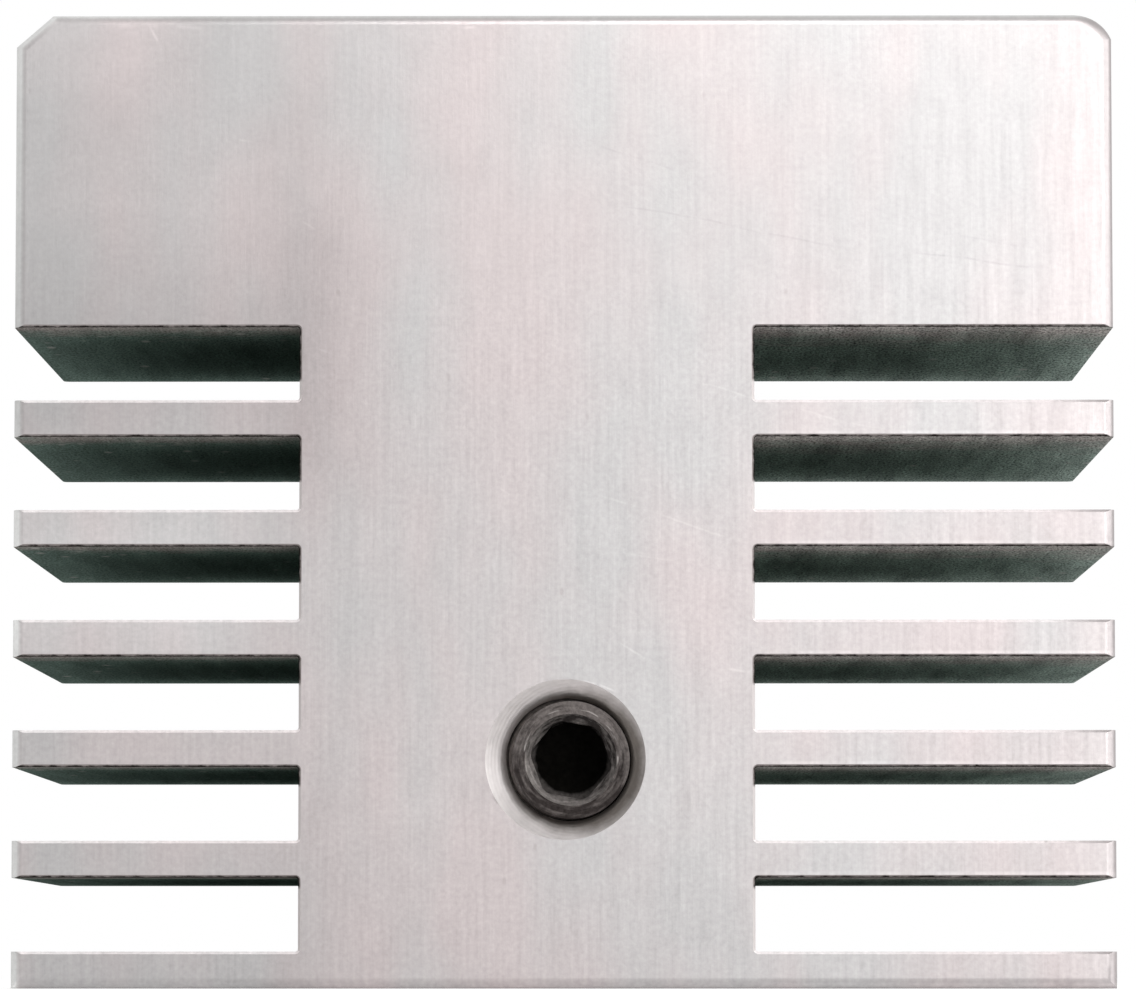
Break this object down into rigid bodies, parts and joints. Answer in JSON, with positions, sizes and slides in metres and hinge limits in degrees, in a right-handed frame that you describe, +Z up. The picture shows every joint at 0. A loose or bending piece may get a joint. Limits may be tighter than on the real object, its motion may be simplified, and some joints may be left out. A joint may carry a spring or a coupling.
{
  "type": "heat sink",
  "caption": "Finned aluminium heat-sink block: thick solid head, off-centre spine with level fins to both sides, upright through bore and a black clamping set screw low on the front.",
  "frame": {"origin": "middle of the bottom face, under the middle of the block; the axis of the upright bore is 0.2 mm to its right", "axes": "+X to the right as the front is seen, +Y from the front face to the back, +Z up along the bore, from the lowest fin to the head"},
  "size_m": [0.03, 0.016, 0.0266],
  "materials": {
    "body": "machined and tumbled, satin",
    "screw": "black oxide"
  },
  "bodies": {
    "root": {"heat_sink_body": "body", "set_screw": "screw"}
  },
  "joints": []
}
